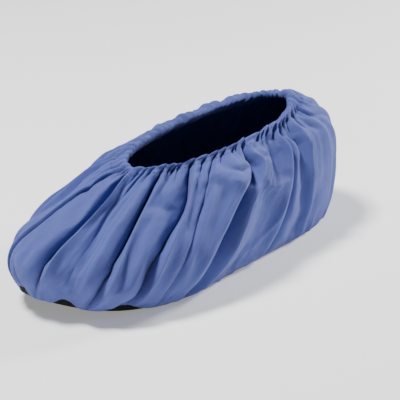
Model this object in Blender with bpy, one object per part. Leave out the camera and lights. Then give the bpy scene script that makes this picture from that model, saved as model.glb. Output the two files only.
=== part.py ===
"""A washable fabric shoe cover, standing on its sole with the form that it has over a shoe.

The toe points along -X and the heel along +X. The wearer's outer side faces -Y. Lengths are in metres.
The upper is one gathered wall that runs from the toe seam round the outer side, the heel and the inner
side, back to the toe seam. Its foot laps over the turned-up edge of the sole, and its head is held in
a folded hem with an elastic band inside.

A place round the cover is a share of one turn: 0 at the toe seam, 0.5 at the heel, 1 at the seam again.
A place up the wall is a share from 0 at the foot to 1 at the head.
"""

import math
from collections import namedtuple

import bpy
import numpy as np

# Driving sizes
SOLE_LENGTH = 0.300
BALL_WIDTH = 0.108
HEEL_WIDTH = 0.082
TOE_SPRING = 0.011
SOLE_THICKNESS = 0.0022
SOLE_CURL_RADIUS = 0.003
SOLE_EDGE_HEIGHT = 0.0085

MOUTH_LENGTH = 0.194
MOUTH_WIDTH = 0.069
MOUTH_SETBACK = 0.029
MOUTH_FRONT_HEIGHT = 0.091
MOUTH_REAR_HEIGHT = 0.101
MOUTH_SAG = 0.001

FABRIC_THICKNESS = 0.0015
FOOT_HEIGHT = 0.0012
FOOT_LIFT = 0.006
FOLD_HEIGHT = 0.0095
FOLD_SLANT = 0.075
WALL_CRIMP = 0.0014
SEAM_GAP = 0.0004
SEAM_ALLOWANCE = 0.006
SEAM_TAIL = 0.00015

HEM_HEIGHT = 0.0095
HEM_HALF_DEPTH = 0.0034
HEM_BROW = 0.62
HEM_WAIST = 0.30
HEM_THICKNESS = 0.0012
HEM_LAP = 0.003
HEM_CRIMP = 0.0009
ELASTIC_THICKNESS = 0.001

LAP_CLEARANCE = 0.0005
CLEARANCE = 0.0003

# How the folds swell and fade, as shares of the wall's height. They grow from the foot to their full
# height at FOLDS_FULL, and fade from there on to the hem. Above PLAIN_HEAD the wall is plain.
FOLD_ROUNDNESS = 0.9
FOLDS_START = 0.06
FOLDS_AT_FOOT = 0.25
FOLDS_FULL = 0.35
FOLDS_FADE = 0.20
CRIMPS_START = 0.70
CRIMPS_FADE = 0.03
PLAIN_HEAD = 0.965

# How finely the faceted walls follow the cloth
GATHERS = 64
COLUMNS_PER_GATHER = 2
ELASTIC_COLUMNS = 96
SOLE_COLUMNS = 72
FINE_STEPS = 720

# The edge of the sole: along is a share of the sole's length from the toe tip, and across is a share
# of the ball's half width, or of the heel's from the waist back. The outer side is negative.
Edge = namedtuple("Edge", "along ball_across heel_across")
SOLE_EDGE = (
    Edge(0.000, 0.40, 0.00),
    Edge(0.085, -0.54, 0.00),
    Edge(0.275, -0.97, 0.00),
    Edge(0.530, -0.46, -0.62),
    Edge(0.860, 0.00, -1.05),
    Edge(0.965, 0.00, -0.66),
    Edge(1.000, 0.00, 0.00),
    Edge(0.965, 0.00, 0.66),
    Edge(0.860, 0.00, 1.03),
    Edge(0.530, 0.45, 0.64),
    Edge(0.280, 1.03, 0.00),
    Edge(0.080, 0.82, 0.00),
)

# The wall's form at places round the cover. Outs are shares of the ball's half width, heights are
# shares of the mouth's height there, and ins are shares of the way from the sole's edge to the mouth.
Section = namedtuple(
    "Section",
    "around low_out low_height belly_out belly_height shoulder_in shoulder_height neck_in neck_height",
)
SECTIONS = (
    Section(0.000, 0.10, 0.14, 0.17, 0.46, 0.35, 0.64, 0.88, 0.98),
    Section(0.110, 0.10, 0.14, 0.18, 0.42, 0.43, 0.63, 0.83, 0.94),
    Section(0.250, 0.12, 0.14, 0.20, 0.41, 0.31, 0.76, 0.73, 0.92),
    Section(0.400, 0.10, 0.15, 0.11, 0.43, 0.18, 0.85, 0.65, 0.92),
    Section(0.500, 0.08, 0.16, 0.11, 0.48, 0.10, 0.90, 0.57, 0.98),
    Section(0.600, 0.10, 0.15, 0.11, 0.43, 0.18, 0.85, 0.65, 0.92),
    Section(0.750, 0.12, 0.14, 0.20, 0.41, 0.31, 0.76, 0.73, 0.92),
    Section(0.890, 0.10, 0.14, 0.18, 0.42, 0.43, 0.63, 0.83, 0.94),
)

# The valleys between the main folds: where each crosses the hem, the middle of the wall and the foot, and
# how full the fold behind it stands, as a share of the fold height. The first valley is the toe seam.
Valley = namedtuple("Valley", "hem middle foot fullness")
VALLEYS = (
    Valley(0.000, -0.010, -0.020, 0.45),
    Valley(0.024, 0.060, 0.045, 0.70),
    Valley(0.052, 0.100, 0.082, 0.75),
    Valley(0.080, 0.142, 0.118, 1.00),
    Valley(0.148, 0.213, 0.165, 0.95),
    Valley(0.188, 0.254, 0.205, 1.00),
    Valley(0.262, 0.311, 0.242, 0.90),
    Valley(0.290, 0.333, 0.280, 0.60),
    Valley(0.318, 0.354, 0.315, 0.75),
    Valley(0.360, 0.388, 0.358, 0.80),
    Valley(0.408, 0.417, 0.400, 0.75),
    Valley(0.440, 0.448, 0.440, 0.70),
    Valley(0.478, 0.482, 0.480, 0.65),
    Valley(0.520, 0.518, 0.520, 0.70),
    Valley(0.560, 0.552, 0.558, 0.75),
    Valley(0.602, 0.590, 0.602, 0.85),
    Valley(0.640, 0.625, 0.645, 0.75),
    Valley(0.690, 0.662, 0.690, 0.95),
    Valley(0.735, 0.700, 0.732, 0.90),
    Valley(0.782, 0.742, 0.772, 1.00),
    Valley(0.826, 0.785, 0.815, 0.85),
    Valley(0.868, 0.828, 0.852, 0.95),
    Valley(0.908, 0.868, 0.890, 0.80),
    Valley(0.945, 0.910, 0.925, 0.70),
    Valley(0.975, 0.950, 0.957, 0.45),
)

# Where folds lift the foot of the wall and bare the sole's edge, and how wide each lift is
Lift = namedtuple("Lift", "around width")
LIFTS = (
    Lift(0.004, 0.014),
    Lift(0.092, 0.030),
    Lift(0.168, 0.026),
    Lift(0.870, 0.026),
)

# Rows of the wall, from the foot up to the hem
WALL_ROWS = (0.0, 0.05, 0.13, 0.23, 0.35, 0.48, 0.61, 0.73, 0.83, 0.91)


def smooth(share):
    """0 to 1 with level ends."""
    share = np.clip(share, 0.0, 1.0)
    return share * share * (3.0 - 2.0 * share)


def hermite(places, values, at, period=None):
    """Values at places, joined by a smooth curve and read at other places. A period closes it."""
    places = np.asarray(places, float)
    values = np.asarray(values, float)
    if period:
        places = np.concatenate([places[-2:] - period, places, places[:3] + period])
        values = np.concatenate([values[-2:], values, values[:3]])
    slopes = np.gradient(values, places, axis=0)
    index = np.clip(np.searchsorted(places, at, side="right") - 1, 0, len(places) - 2)
    span = (places[index + 1] - places[index])[:, None]
    share = (np.asarray(at)[:, None] - places[index][:, None]) / span
    start, end = values[index], values[index + 1]
    leave, arrive = slopes[index] * span, slopes[index + 1] * span
    square, cube = share**2, share**3
    return (
        (2 * cube - 3 * square + 1) * start
        + (cube - 2 * square + share) * leave
        + (3 * square - 2 * cube) * end
        + (cube - square) * arrive
    )


def evenly(loop, start, middle, at):
    """Reads a closed loop of points by length: place 0 is at start, and 0.5 is at middle."""
    loop = np.roll(loop, -start, axis=0)
    middle = (middle - start) % len(loop)
    closed = np.concatenate([loop, loop[:1]])
    length = np.concatenate([[0.0], np.cumsum(np.linalg.norm(np.diff(closed, axis=0), axis=1))])
    place = np.where(
        length <= length[middle],
        0.5 * length / length[middle],
        0.5 + 0.5 * (length - length[middle]) / (length[-1] - length[middle]),
    )
    return np.stack([np.interp(at, place, closed[:, axis]) for axis in range(closed.shape[1])], axis=1)


def sole_edge(at):
    """Points of the sole's edge, seen from above, and the way out from it there."""
    rows = np.array(SOLE_EDGE)
    along = (rows[:, 0] - 0.5) * SOLE_LENGTH
    across = 0.5 * (rows[:, 1] * BALL_WIDTH + rows[:, 2] * HEEL_WIDTH)
    corners = np.stack([along, across], axis=1)
    hops = np.linalg.norm(np.diff(np.concatenate([corners, corners[:1]]), axis=0), axis=1)
    knots = np.concatenate([[0.0], np.cumsum(np.sqrt(hops))])
    fine = np.linspace(0.0, knots[-1], FINE_STEPS, endpoint=False)
    loop = hermite(knots[:-1], corners, fine, period=knots[-1])
    heel = int(np.argmax(loop[:, 0]))
    step = 1.0 / FINE_STEPS
    points = evenly(loop, 0, heel, np.mod(at, 1.0))
    ahead = evenly(loop, 0, heel, np.mod(at + step, 1.0))
    behind = evenly(loop, 0, heel, np.mod(at - step, 1.0))
    way = ahead - behind
    out = np.stack([way[:, 1], -way[:, 0]], axis=1)
    return points, out / np.linalg.norm(out, axis=1)[:, None]


def spring(x):
    """How far the toe lifts the sole from the ground."""
    ball = (SOLE_EDGE[2].along - 0.5) * SOLE_LENGTH
    toe = -0.5 * SOLE_LENGTH
    return TOE_SPRING * np.clip((ball - x) / (ball - toe), 0.0, None) ** 2


def mouth(at):
    """Points where the wall's head enters the hem."""
    turn = 2 * math.pi * np.arange(FINE_STEPS) / FINE_STEPS
    loop = np.stack([-0.5 * MOUTH_LENGTH * np.cos(turn), -0.5 * MOUTH_WIDTH * np.sin(turn)], axis=1)
    points = evenly(loop, 0, FINE_STEPS // 2, np.mod(at, 1.0))
    share = points[:, 0] / MOUTH_LENGTH + 0.5
    height = MOUTH_FRONT_HEIGHT + (MOUTH_REAR_HEIGHT - MOUTH_FRONT_HEIGHT) * share
    height = height - MOUTH_SAG * 4 * share * (1 - share)
    return np.stack([points[:, 0] + MOUTH_SETBACK, points[:, 1], height], axis=1)


def spline_weights(share):
    """Weights of six control points for a curve that starts at the first and ends at the last."""
    knots = np.array([0, 0, 0, 0, 1 / 3, 2 / 3, 1, 1, 1, 1])
    share = np.clip(np.asarray(share, float), 0.0, 1.0 - 1e-9)
    weights = np.stack([(knots[i] <= share) & (share < knots[i + 1]) for i in range(9)], axis=-1) * 1.0
    for degree in (1, 2, 3):
        raised = []
        for i in range(9 - degree):
            rise, fall = knots[i + degree] - knots[i], knots[i + degree + 1] - knots[i + 1]
            left = (share - knots[i]) / rise if rise else 0.0
            right = (knots[i + degree + 1] - share) / fall if fall else 0.0
            raised.append(left * weights[..., i] + right * weights[..., i + 1])
        weights = np.stack(raised, axis=-1)
    return weights


def foot_place(around):
    """The place on the sole's edge that a column of the wall starts from. Columns lean to the toe."""
    return around - FOLD_SLANT * np.sin(2 * math.pi * around)


def wall_controls(around):
    """The six control points of the wall's form in each column, foot first."""
    edge, out = sole_edge(foot_place(around))
    head = mouth(around)
    form = hermite(
        [row.around for row in SECTIONS], [row[1:] for row in SECTIONS], np.mod(around, 1.0), period=1.0
    )
    form = dict(zip(Section._fields[1:], form.T))
    base = spring(edge[:, 0])
    lift = sum(
        np.exp(-(((np.mod(around - row.around + 0.5, 1.0) - 0.5) / (0.5 * row.width)) ** 2)) for row in LIFTS
    )
    half = 0.5 * BALL_WIDTH
    lap = LAP_CLEARANCE + FABRIC_THICKNESS

    def beside(distance, height):
        spot = edge + out * np.broadcast_to(distance, len(edge))[:, None]
        return np.column_stack([spot, base + height])

    def between(share, height):
        belly = edge + out * (half * form["belly_out"])[:, None]
        spot = belly + (head[:, :2] - belly) * share[:, None]
        return np.column_stack([spot, base + (head[:, 2] - base) * height])

    rise = head[:, 2] - base
    return np.stack(
        [
            beside(lap, FOOT_HEIGHT + FOOT_LIFT * np.clip(lift, 0.0, 1.0)),
            beside(lap + half * form["low_out"], rise * form["low_height"]),
            beside(lap + half * form["belly_out"], rise * form["belly_height"]),
            between(form["shoulder_in"], form["shoulder_height"]),
            between(form["neck_in"], form["neck_height"]),
            head,
        ]
    )


def wall_form(around, up):
    """The smooth form that the folds stand on, for one place up the wall."""
    weights = spline_weights(np.full(len(around), up))
    return np.einsum("nc,cnk->nk", weights, wall_controls(around))


def wall_frame(around, up):
    """The form's point, its way out and its way up in each column."""
    step = 1e-3
    point = wall_form(around, up)
    along = wall_form(around + step, up) - wall_form(around - step, up)
    rise = wall_form(around, min(up + step, 1.0)) - wall_form(around, max(up - step, 0.0))
    out = np.cross(along, rise)
    out /= np.linalg.norm(out, axis=1)[:, None]
    rise /= np.linalg.norm(rise, axis=1)[:, None]
    return point, out, rise


def valley_places(up):
    """Where the valleys between the folds are, round the cover, at a height of the wall."""
    rows = np.array(VALLEYS)
    hem, middle, foot = rows[:, 0], rows[:, 1], rows[:, 2]
    bow = middle - 0.5 * (hem + foot)
    return foot + (hem - foot) * up + bow * 4.0 * up * (1.0 - up)


def wall_columns():
    """The fold that each column of the wall is on, and its share of the way across that fold.

    Every valley has a column of its own, and each fold has an even number of them.
    """
    middle = np.array([row.middle for row in VALLEYS] + [VALLEYS[0].middle + 1.0])
    pairs = np.maximum(np.round(np.diff(middle) * GATHERS), 2).astype(int)
    fold, share = [], []
    for number, pair_count in enumerate(pairs):
        fold += [number] * (2 * pair_count)
        share += list(np.arange(2 * pair_count) / (2 * pair_count))
    return np.array(fold + [len(VALLEYS) - 1]), np.array(share + [1.0])


def column_places(fold, share, up):
    """Where the columns are, round the cover, at a height of the wall."""
    places = valley_places(up)
    places = np.append(places, places[0] + 1.0)
    return places[fold] + (places[fold + 1] - places[fold]) * share


def fold_rise(fold, share, up):
    """How far the folds and the gathers stand off the form in each column."""
    fullness = np.array([row.fullness for row in VALLEYS])[fold]
    dome = np.clip(np.sin(math.pi * share), 0.0, 1.0) ** FOLD_ROUNDNESS
    swell = FOLDS_AT_FOOT * smooth(up / FOLDS_START) + (1 - FOLDS_AT_FOOT) * smooth(up / FOLDS_FULL)
    folds = FOLD_HEIGHT * fullness * dome * swell * smooth((PLAIN_HEAD - up) / FOLDS_FADE)
    near_hem = smooth((up - CRIMPS_START) / FOLDS_FADE) * smooth((PLAIN_HEAD - up) / CRIMPS_FADE)
    crimp = np.arange(len(fold)) % 2
    return folds + WALL_CRIMP * crimp * near_hem


def columns(count):
    """Places round the cover, evenly spread."""
    return np.arange(count) / count


def mesh_object(name, points, faces, material):
    mesh = bpy.data.meshes.new(name)
    mesh.from_pydata([tuple(p) for p in points], [], [tuple(int(i) for i in face) for face in faces])
    mesh.validate()
    mesh.materials.append(material)
    mesh.shade_smooth()
    mesh.set_sharp_from_angle(angle=math.radians(50))
    obj = bpy.data.objects.new(name, mesh)
    bpy.context.scene.collection.objects.link(obj)
    return obj


def ring_faces(loops, size, closed_across):
    """Quads that join loops of points, each of the same size. A closed set joins the last to the first."""
    faces = []
    for row in range(loops if closed_across else loops - 1):
        here, there = row * size, ((row + 1) % loops) * size
        for i in range(size):
            after = (i + 1) % size
            faces.append((here + i, here + after, there + after, there + i))
    return faces


def make_upper(material):
    """The gathered wall, from the toe seam round to the toe seam, with its seam allowances turned in."""
    fold, share = wall_columns()
    count = len(fold)
    first_free, last_free = 2, len(WALL_ROWS) - 2
    inside_hem = [(1.0, HEM_LAP + CLEARANCE), (1.0, 0.0)]
    loops = []
    for row, (up, below_head) in enumerate([(up, 0.0) for up in WALL_ROWS] + inside_hem):
        point, out, rise = wall_frame(column_places(fold, share, up), up)
        point = point - rise * below_head
        along = np.cross(rise, out)
        shift = np.zeros(count)
        shift[0], shift[-1] = 0.5 * SEAM_GAP, -0.5 * SEAM_GAP
        outer = point + out * fold_rise(fold, share, up)[:, None] + along * shift[:, None]
        inner = outer - out * FABRIC_THICKNESS
        turned = SEAM_ALLOWANCE if first_free <= row <= last_free else SEAM_TAIL
        flaps = []
        for end, way in ((-1, -1.0), (0, 1.0)):
            edge = outer[end] - out[end] * (FABRIC_THICKNESS + turned)
            flaps.append((edge, edge + along[end] * way * FABRIC_THICKNESS))
            inner[end] += along[end] * way * FABRIC_THICKNESS
        (last_edge, last_corner), (first_edge, first_corner) = flaps
        loops.append(
            np.concatenate(
                [outer, [last_edge, last_corner], inner[::-1], [first_corner, first_edge]]
            )
        )
    size = len(loops[0])
    faces = ring_faces(len(loops), size, closed_across=False)
    bottom, top = [], (len(loops) - 1) * size
    for i in range(count - 1):
        outer_pair = (i, i + 1)
        inner_pair = (2 * count + 1 - i, 2 * count - i)
        bottom.append((outer_pair[1], outer_pair[0], inner_pair[0], inner_pair[1]))
    bottom.append((0, size - 1, size - 2, size - 3))
    bottom.append((count + 2, count + 1, count, count - 1))
    faces += bottom
    faces += [tuple(top + i for i in reversed(face)) for face in bottom]
    return mesh_object("upper", np.concatenate(loops), faces, material)


def hem_frame(around):
    """The middle of the wall's head, the way out and the way on, and the crimp of each column."""
    head, out, rise = wall_frame(around, 1.0)
    crimp = np.cos(2 * math.pi * GATHERS * around)
    return head - out * 0.5 * FABRIC_THICKNESS, out, rise, crimp


def make_hem(material):
    """The hem: cloth folded over the elastic, crimped by it, and open below to take the wall's head."""
    around = columns(GATHERS * COLUMNS_PER_GATHER)
    middle, out, rise, crimp = hem_frame(around)
    even = np.ones(len(around))
    slot = (0.5 * FABRIC_THICKNESS + CLEARANCE) * even
    lip = slot + HEM_THICKNESS
    belly = HEM_HALF_DEPTH + HEM_CRIMP * crimp
    brow = HEM_BROW * belly
    top = HEM_HEIGHT + 0.5 * HEM_CRIMP * crimp
    low, waist = -HEM_LAP * even, HEM_WAIST * HEM_HEIGHT * even
    outside = [(lip, low), (belly, waist), (brow, top), (-brow, top), (-belly, waist), (-lip, low)]
    inner_belly, inner_brow = belly - HEM_THICKNESS, brow - 0.5 * HEM_THICKNESS
    inner_top = top - HEM_THICKNESS
    inside = [
        (-slot, low),
        (-inner_belly, waist),
        (-inner_brow, inner_top),
        (inner_brow, inner_top),
        (inner_belly, waist),
        (slot, low),
    ]
    section = (outside + inside)[::-1]
    points = np.stack([middle + out * a[:, None] + rise * b[:, None] for a, b in section], axis=1)
    faces = ring_faces(len(around), len(section), closed_across=True)
    return mesh_object("hem_casing", points.reshape(-1, 3), faces, material)


def make_elastic(material):
    """A flat elastic band that runs round inside the hem."""
    around = columns(ELASTIC_COLUMNS)
    middle, out, rise, crimp = hem_frame(around)
    half = 0.5 * ELASTIC_THICKNESS
    low = 2 * CLEARANCE
    high = HEM_HEIGHT - 0.5 * HEM_CRIMP - HEM_THICKNESS - CLEARANCE
    section = ((-half, low), (-half, high), (half, high), (half, low))
    points = np.stack([middle + out * a + rise * b for a, b in section], axis=1)
    faces = ring_faces(len(around), len(section), closed_across=True)
    return mesh_object("hem_elastic", points.reshape(-1, 3), faces, material)


def make_sole(material):
    """The sole: a flat sheet whose edge curls up round the shoe, under the foot of the wall."""
    around = columns(SOLE_COLUMNS)
    edge, out = sole_edge(around)
    curl, thick = SOLE_CURL_RADIUS, SOLE_THICKNESS
    slant = math.sqrt(0.5)
    underside = [
        (-curl, 0.0),
        (-curl * (1 - slant), curl * (1 - slant)),
        (0.0, curl),
        (0.0, SOLE_EDGE_HEIGHT),
    ]
    inside = [
        (-thick, SOLE_EDGE_HEIGHT),
        (-thick, curl),
        (-curl * (1 - slant) - thick * slant, curl * (1 - slant) + thick * slant),
        (-curl, thick),
    ]
    loops = []
    for distance, height in underside + inside:
        spot = edge + out * distance
        loops.append(np.column_stack([spot, spring(spot[:, 0]) + height]))
    faces = ring_faces(len(loops), SOLE_COLUMNS, closed_across=False)
    last = (len(loops) - 1) * SOLE_COLUMNS
    for i in range(SOLE_COLUMNS // 2):
        j = SOLE_COLUMNS - i
        strip = (i, i + 1, (j - 1) % SOLE_COLUMNS, j % SOLE_COLUMNS)
        strip = tuple(dict.fromkeys(strip))
        faces.append(tuple(reversed(strip)))
        faces.append(tuple(last + k for k in strip))
    return mesh_object("sole", np.concatenate(loops), faces, material)


def material(name, colour, roughness):
    made = bpy.data.materials.new(name)
    made.use_nodes = True
    shader = made.node_tree.nodes["Principled BSDF"]
    shader.inputs["Base Color"].default_value = (*colour, 1.0)
    shader.inputs["Roughness"].default_value = roughness
    shader.inputs["Metallic"].default_value = 0.0
    return made


def stand_on_origin(pieces):
    """Parents the pieces to an empty, placed so that the origin is under the middle of their box."""
    corners = np.array([v.co for piece in pieces for v in piece.data.vertices])
    middle = 0.5 * (corners.min(axis=0) + corners.max(axis=0))
    stand = bpy.data.objects.new("shoe_cover", None)
    bpy.context.scene.collection.objects.link(stand)
    stand.location = (-middle[0], -middle[1], 0.0)
    for piece in pieces:
        piece.parent = stand
    return stand


def main():
    for old in list(bpy.data.objects):
        bpy.data.objects.remove(old)
    blue = material("blue_cloth", (0.13, 0.22, 0.55), 0.75)
    white = material("white_elastic", (0.70, 0.70, 0.68), 0.80)
    black = material("black_grip_sole", (0.012, 0.012, 0.014), 0.85)
    pieces = [make_upper(blue), make_hem(blue), make_elastic(white), make_sole(black)]
    stand_on_origin(pieces)


main()
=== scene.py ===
"""A blue cloth shoe cover with a gathered upper, an elastic hem and a black sole, on a pale studio floor.

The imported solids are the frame. The cloth with its hem, the elastic band, the stitches and the sole's sheet
are made here on the same form as the solids, much finer, and replace them. Lengths are in metres. A place
round the cover runs from 0 at the toe seam past the outer side to 0.5 at the heel, and back to 1. A place up
the wall runs from 0 at its foot to 1 at the hem.
"""

import math
from collections import namedtuple

import bpy
import numpy as np
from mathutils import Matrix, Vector, noise


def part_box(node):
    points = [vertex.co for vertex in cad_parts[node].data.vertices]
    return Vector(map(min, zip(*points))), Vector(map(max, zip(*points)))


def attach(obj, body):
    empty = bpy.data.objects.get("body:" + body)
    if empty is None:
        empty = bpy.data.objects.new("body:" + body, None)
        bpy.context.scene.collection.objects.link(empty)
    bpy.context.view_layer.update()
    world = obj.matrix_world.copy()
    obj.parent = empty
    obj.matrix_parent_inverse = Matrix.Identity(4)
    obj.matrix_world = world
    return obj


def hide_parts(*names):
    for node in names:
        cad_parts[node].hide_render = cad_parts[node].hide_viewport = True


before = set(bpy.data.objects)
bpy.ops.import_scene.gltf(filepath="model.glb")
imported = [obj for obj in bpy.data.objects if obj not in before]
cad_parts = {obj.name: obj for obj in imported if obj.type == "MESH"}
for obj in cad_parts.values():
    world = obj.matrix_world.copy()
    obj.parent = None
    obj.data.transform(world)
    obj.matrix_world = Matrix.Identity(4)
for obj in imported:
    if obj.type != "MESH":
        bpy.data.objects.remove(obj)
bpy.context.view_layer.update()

TURN = 2 * math.pi

# Sizes of the form, as in the part's source
SOLE_LENGTH = 0.300
BALL_WIDTH = 0.108
HEEL_WIDTH = 0.082
TOE_SPRING = 0.011
SOLE_THICKNESS = 0.0022
SOLE_CURL_RADIUS = 0.003
SOLE_EDGE_HEIGHT = 0.0085
MOUTH_LENGTH = 0.194
MOUTH_WIDTH = 0.069
MOUTH_SETBACK = 0.029
MOUTH_FRONT_HEIGHT = 0.091
MOUTH_REAR_HEIGHT = 0.101
MOUTH_SAG = 0.001
LAP = 0.002
FOOT_HEIGHT = 0.0012
FOOT_LIFT = 0.006
FOLD_HEIGHT = 0.0095
FOLD_SLANT = 0.075
HEM_HEIGHT = 0.0095
FINE_STEPS = 1440

Edge = namedtuple("Edge", "along ball_across heel_across")
SOLE_EDGE = (
    Edge(0.000, 0.40, 0.00),
    Edge(0.085, -0.54, 0.00),
    Edge(0.275, -0.97, 0.00),
    Edge(0.530, -0.46, -0.62),
    Edge(0.860, 0.00, -1.05),
    Edge(0.965, 0.00, -0.66),
    Edge(1.000, 0.00, 0.00),
    Edge(0.965, 0.00, 0.66),
    Edge(0.860, 0.00, 1.03),
    Edge(0.530, 0.45, 0.64),
    Edge(0.280, 1.03, 0.00),
    Edge(0.080, 0.82, 0.00),
)

Section = namedtuple(
    "Section",
    "around low_out low_height belly_out belly_height shoulder_in shoulder_height neck_in neck_height",
)
SECTIONS = (
    Section(0.000, 0.10, 0.14, 0.17, 0.46, 0.35, 0.64, 0.88, 0.98),
    Section(0.110, 0.10, 0.14, 0.18, 0.42, 0.43, 0.63, 0.83, 0.94),
    Section(0.250, 0.12, 0.14, 0.20, 0.41, 0.31, 0.76, 0.73, 0.92),
    Section(0.400, 0.10, 0.15, 0.11, 0.43, 0.18, 0.85, 0.65, 0.92),
    Section(0.500, 0.08, 0.16, 0.11, 0.48, 0.10, 0.90, 0.57, 0.98),
    Section(0.600, 0.10, 0.15, 0.11, 0.43, 0.18, 0.85, 0.65, 0.92),
    Section(0.750, 0.12, 0.14, 0.20, 0.41, 0.31, 0.76, 0.73, 0.92),
    Section(0.890, 0.10, 0.14, 0.18, 0.42, 0.43, 0.63, 0.83, 0.94),
)

# The main folds. Each starts at a valley, whose place round the cover is given at the foot, the low part, the
# middle, the high part and the hem of the wall. Then come the fold's heights, as shares of FOLD_HEIGHT: the
# valley's own, a sharp ridge, a trough and a soft crest, each with its share of the way to the next valley.
# Soft valleys are rounded. Last is how many gathers the fold ends in at the hem.
Fold = namedtuple(
    "Fold", "foot low middle high hem valley soft ridge_at ridge trough_at trough crest_at crest gathers"
)
FOLDS = (
    Fold(-0.024, -0.022, -0.018, -0.018, 0.000, 0.10, 1, 0.20, 0.22, 0.46, 0.42, 0.78, 0.70, 2),
    Fold(0.030, 0.049, 0.051, 0.041, 0.011, -0.40, 0, 0.20, 0.86, 0.60, 0.40, 0.84, 0.32, 2),
    Fold(0.070, 0.092, 0.093, 0.067, 0.040, 0.26, 1, 0.22, 0.38, 0.36, 0.62, 0.58, 0.98, 2),
    Fold(0.121, 0.141, 0.139, 0.117, 0.072, -0.26, 0, 0.14, 0.84, 0.34, 0.72, 0.58, 0.92, 4),
    Fold(0.172, 0.192, 0.200, 0.194, 0.125, -0.24, 0, 0.22, 0.96, 0.50, 0.70, 0.76, 0.78, 2),
    Fold(0.210, 0.226, 0.238, 0.228, 0.178, 0.44, 0, 0.16, 0.80, 0.36, 0.80, 0.56, 1.02, 4),
    Fold(0.250, 0.274, 0.297, 0.320, 0.244, -0.24, 0, 0.30, 1.05, 0.62, 0.72, 0.84, 0.56, 3),
    Fold(0.292, 0.326, 0.350, 0.357, 0.312, 0.36, 1, 0.30, 0.34, 0.46, 0.46, 0.80, 0.80, 2),
    Fold(0.360, 0.379, 0.389, 0.387, 0.352, 0.10, 0, 0.34, 0.48, 0.52, 0.44, 0.66, 0.34, 2),
    Fold(0.400, 0.404, 0.405, 0.404, 0.380, 0.16, 1, 0.46, 0.68, 0.66, 0.28, 0.80, 0.18, 1),
    Fold(0.418, 0.424, 0.428, 0.427, 0.408, 0.12, 1, 0.24, 0.20, 0.44, 0.26, 0.66, 0.34, 2),
    Fold(0.448, 0.456, 0.458, 0.452, 0.438, 0.04, 1, 0.22, 0.26, 0.44, 0.20, 0.66, 0.30, 3),
    Fold(0.482, 0.488, 0.488, 0.483, 0.474, 0.00, 1, 0.28, 0.24, 0.50, 0.16, 0.70, 0.34, 2),
    Fold(0.514, 0.520, 0.524, 0.520, 0.522, 0.00, 1, 0.30, 0.42, 0.50, 0.30, 0.74, 0.46, 3),
    Fold(0.566, 0.564, 0.556, 0.554, 0.566, -0.04, 0, 0.24, 0.50, 0.44, 0.38, 0.72, 0.62, 3),
    Fold(0.602, 0.596, 0.590, 0.590, 0.612, 0.10, 0, 0.22, 0.70, 0.46, 0.54, 0.76, 0.84, 3),
    Fold(0.645, 0.634, 0.625, 0.628, 0.654, 0.00, 0, 0.26, 0.60, 0.48, 0.50, 0.70, 0.66, 3),
    Fold(0.690, 0.674, 0.662, 0.664, 0.700, 0.24, 1, 0.30, 0.62, 0.44, 0.66, 0.82, 0.92, 3),
    Fold(0.732, 0.714, 0.700, 0.706, 0.744, 0.00, 0, 0.24, 0.66, 0.50, 0.52, 0.80, 0.78, 3),
    Fold(0.772, 0.754, 0.742, 0.752, 0.790, 0.20, 1, 0.26, 0.60, 0.50, 0.66, 0.84, 0.90, 3),
    Fold(0.815, 0.796, 0.785, 0.798, 0.834, 0.00, 0, 0.24, 0.60, 0.46, 0.56, 0.82, 0.86, 3),
    Fold(0.852, 0.836, 0.828, 0.844, 0.876, 0.06, 0, 0.26, 0.70, 0.50, 0.62, 0.84, 0.82, 3),
    Fold(0.890, 0.876, 0.868, 0.884, 0.916, 0.30, 1, 0.26, 0.50, 0.44, 0.56, 0.80, 0.74, 3),
    Fold(0.919, 0.908, 0.904, 0.916, 0.942, 0.16, 1, 0.26, 0.34, 0.50, 0.38, 0.80, 0.40, 2),
    Fold(0.950, 0.944, 0.942, 0.950, 0.974, 0.26, 1, 0.28, 0.28, 0.50, 0.28, 0.78, 0.22, 2),
)
FOLD_HEIGHTS = (0.0, 0.25, 0.50, 0.75, 1.0)

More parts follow.
